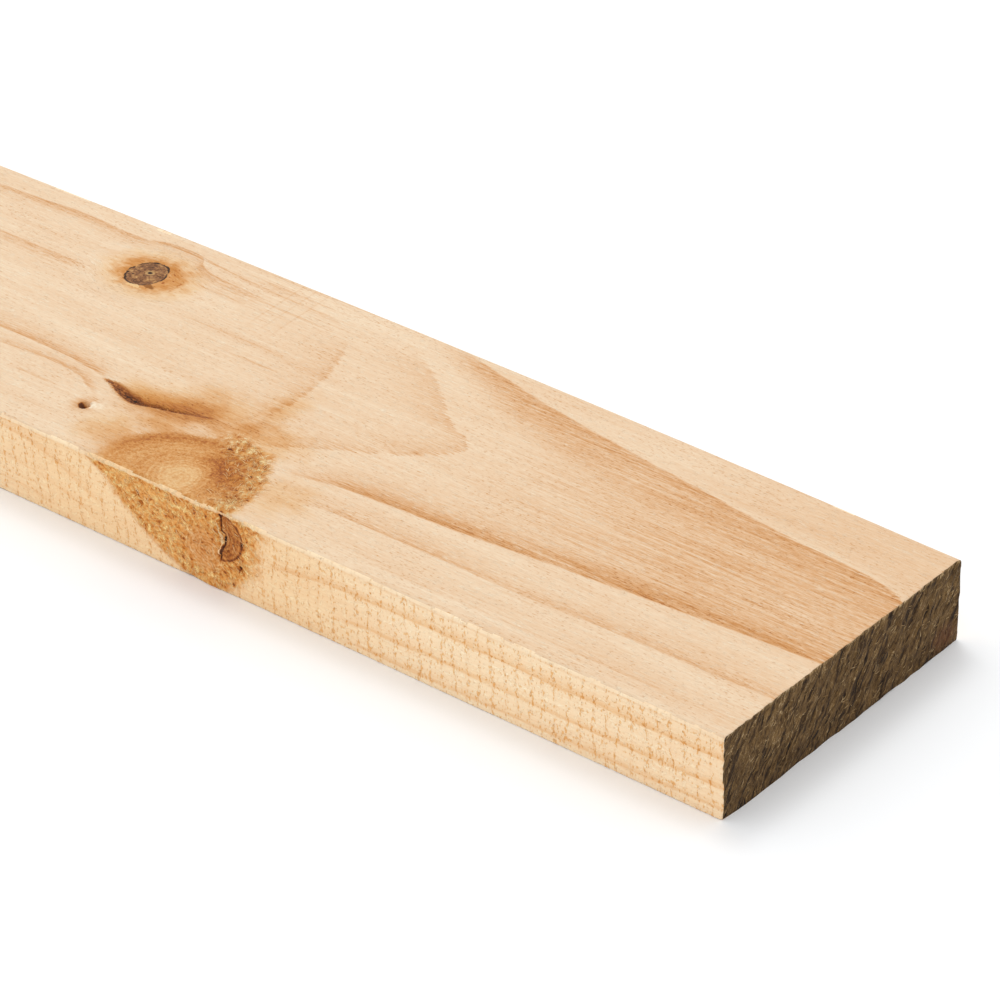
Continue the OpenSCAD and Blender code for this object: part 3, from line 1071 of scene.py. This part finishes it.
def lay_out(plank, points, faces, plane):
    """Lays the board's sides flat on one texture sheet, the shown stretch and the ends the largest."""
    sizes = np.array([len(face) for face in faces])
    corner = np.concatenate([np.asarray(face) for face in faces])
    side = np.repeat(plane, sizes)
    a, b, c = points[corner].T
    middle = np.repeat([points[list(face), 0].mean() for face in faces], sizes)
    wide = WIDTH + SWELL
    rows = np.select([side == 0, side == 1, side == 2, side == 3],
                     [b, wide + 2 * THICKNESS + 3 * SIDE_GAP + b, wide + SIDE_GAP + c,
                      wide + THICKNESS + 2 * SIDE_GAP + c])
    height = 2 * (wide + THICKNESS) + 4 * SIDE_GAP
    shown = middle > -SHOWN_LENGTH
    hidden_at = SHEET_EDGE + height * SHOWN_SCALE
    u = np.where(shown, -a * SHOWN_SCALE, (-a - SHOWN_LENGTH) * HIDDEN_SCALE) + SHEET_EDGE
    v = np.where(shown, rows * SHOWN_SCALE + SHEET_EDGE, rows * HIDDEN_SCALE + hidden_at)
    ends_at = hidden_at + height * HIDDEN_SCALE
    far_end_at = wide * END_SCALE + 2 * SHEET_EDGE
    end_u = np.where(middle > -LENGTH / 2, b * END_SCALE, far_end_at + b * END_SCALE) + SHEET_EDGE
    u = np.where(side == 4, end_u, u)
    v = np.where(side == 4, ends_at + c * END_SCALE, v)
    sheet = plank.data.uv_layers.new(name="OFBake")
    sheet.data.foreach_set("uv", (np.stack([u, v], -1) / SHEET).ravel().astype(np.float32))


def build_plank():
    points, faces, on_end = build_board()
    fibre_points, fibres = loose_fibres(len(points))
    points, faces = np.concatenate([points, fibre_points]), faces + fibres
    plank = mesh_from("plank_timber", points, faces)
    for made in (face_material("face_top", True), face_material("face_bottom", False),
                 edge_material("edge_near", True), edge_material("edge_far", False),
                 end_material("end_grain"), fibre_material("loose_fibre")):
        plank.data.materials.append(made)
    a, b, c = np.array([points[list(face)].mean(0) for face in faces]).T
    plane = np.argmin([np.abs(THICKNESS - c), c, np.abs(b), np.abs(WIDTH - b)], axis=0)
    plane[:len(on_end)][on_end] = 4
    plane[len(on_end):] = np.where(a[len(on_end):] > -4, 4, plane[len(on_end):])
    index = plane.copy()
    index[len(on_end):] = 5
    plank.data.polygons.foreach_set("material_index", index.astype(np.int32))
    lay_out(plank, points, faces, plane)
    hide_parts("plank")
    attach(plank, "root")
    return plank


# ---------------------------------------------------------------- floor, light and camera

# In metres and watts, but CAMERA_SPOT, which is in board millimetres
FLOOR_SIZE = 14.0
FLOOR_COLOUR = (0.94, 0.95, 0.96, 1)
LAMP_SPOT, LAMP_AIM = Vector((0.0, 0.6, 2.2)), Vector((0.7, 0.0, 0.0))
LAMP_SIZE, LAMP_POWER = 0.8, 10.0
CAMERA_SPOT = (553.0, -750.0, 688.0)
CAMERA_AZIMUTH, CAMERA_HEIGHT, CAMERA_ROLL = 39.69, 32.56, 0.82
CAMERA_LENS = 170.74


def build_stage():
    bpy.ops.mesh.primitive_plane_add(size=FLOOR_SIZE, location=(0, 0, 0))
    floor = bpy.context.object
    floor.name = "floor"
    white = bpy.data.materials.new("floor_white")
    white.use_nodes = True
    shader = white.node_tree.nodes["Principled BSDF"]
    shader.inputs["Base Color"].default_value = FLOOR_COLOUR
    shader.inputs["Roughness"].default_value = 0.9
    shader.inputs["Specular IOR Level"].default_value = 0.0
    floor.data.materials.append(white)


def build_light():
    """Even white surroundings, and a soft lamp high behind the board that puts its shadow in front."""
    world = bpy.data.worlds.new("studio")
    world.use_nodes = True
    world.node_tree.nodes["Background"].inputs["Color"].default_value = (1, 1, 1, 1)
    world.node_tree.nodes["Background"].inputs["Strength"].default_value = 1.0
    bpy.context.scene.world = world
    data = bpy.data.lights.new("key", "AREA")
    data.shape, data.size, data.energy = "SQUARE", LAMP_SIZE, LAMP_POWER
    lamp = bpy.data.objects.new("key", data)
    lamp.location = LAMP_SPOT
    lamp.rotation_euler = (LAMP_AIM - LAMP_SPOT).to_track_quat("-Z", "Y").to_euler()
    bpy.context.scene.collection.objects.link(lamp)


def build_camera():
    """Camera solved from the board's own corners: azimuth, height angle, roll and place."""
    azimuth, height, roll = (math.radians(v) for v in (CAMERA_AZIMUTH, CAMERA_HEIGHT, CAMERA_ROLL))
    level = Vector((math.sin(azimuth), -math.cos(azimuth), 0))
    back = level * math.cos(height) + Vector((0, 0, math.sin(height)))
    right = (-back).cross(Vector((0, 0, 1))).normalized()
    down = (-back).cross(right)
    side = math.cos(roll) * right + math.sin(roll) * down
    below = (-back).cross(side)
    data = bpy.data.cameras.new("camera")
    data.lens, data.sensor_width = CAMERA_LENS, 36.0
    camera = bpy.data.objects.new("camera", data)
    turn = Matrix((side, -below, back)).transposed().to_4x4()
    spot = Vector(place(CAMERA_SPOT))
    camera.matrix_world = Matrix.Translation(spot) @ turn
    bpy.context.scene.collection.objects.link(camera)
    bpy.context.scene.camera = camera


bpy.context.scene.view_settings.view_transform = "Standard"
build_plank()
build_stage()
build_light()
build_camera()
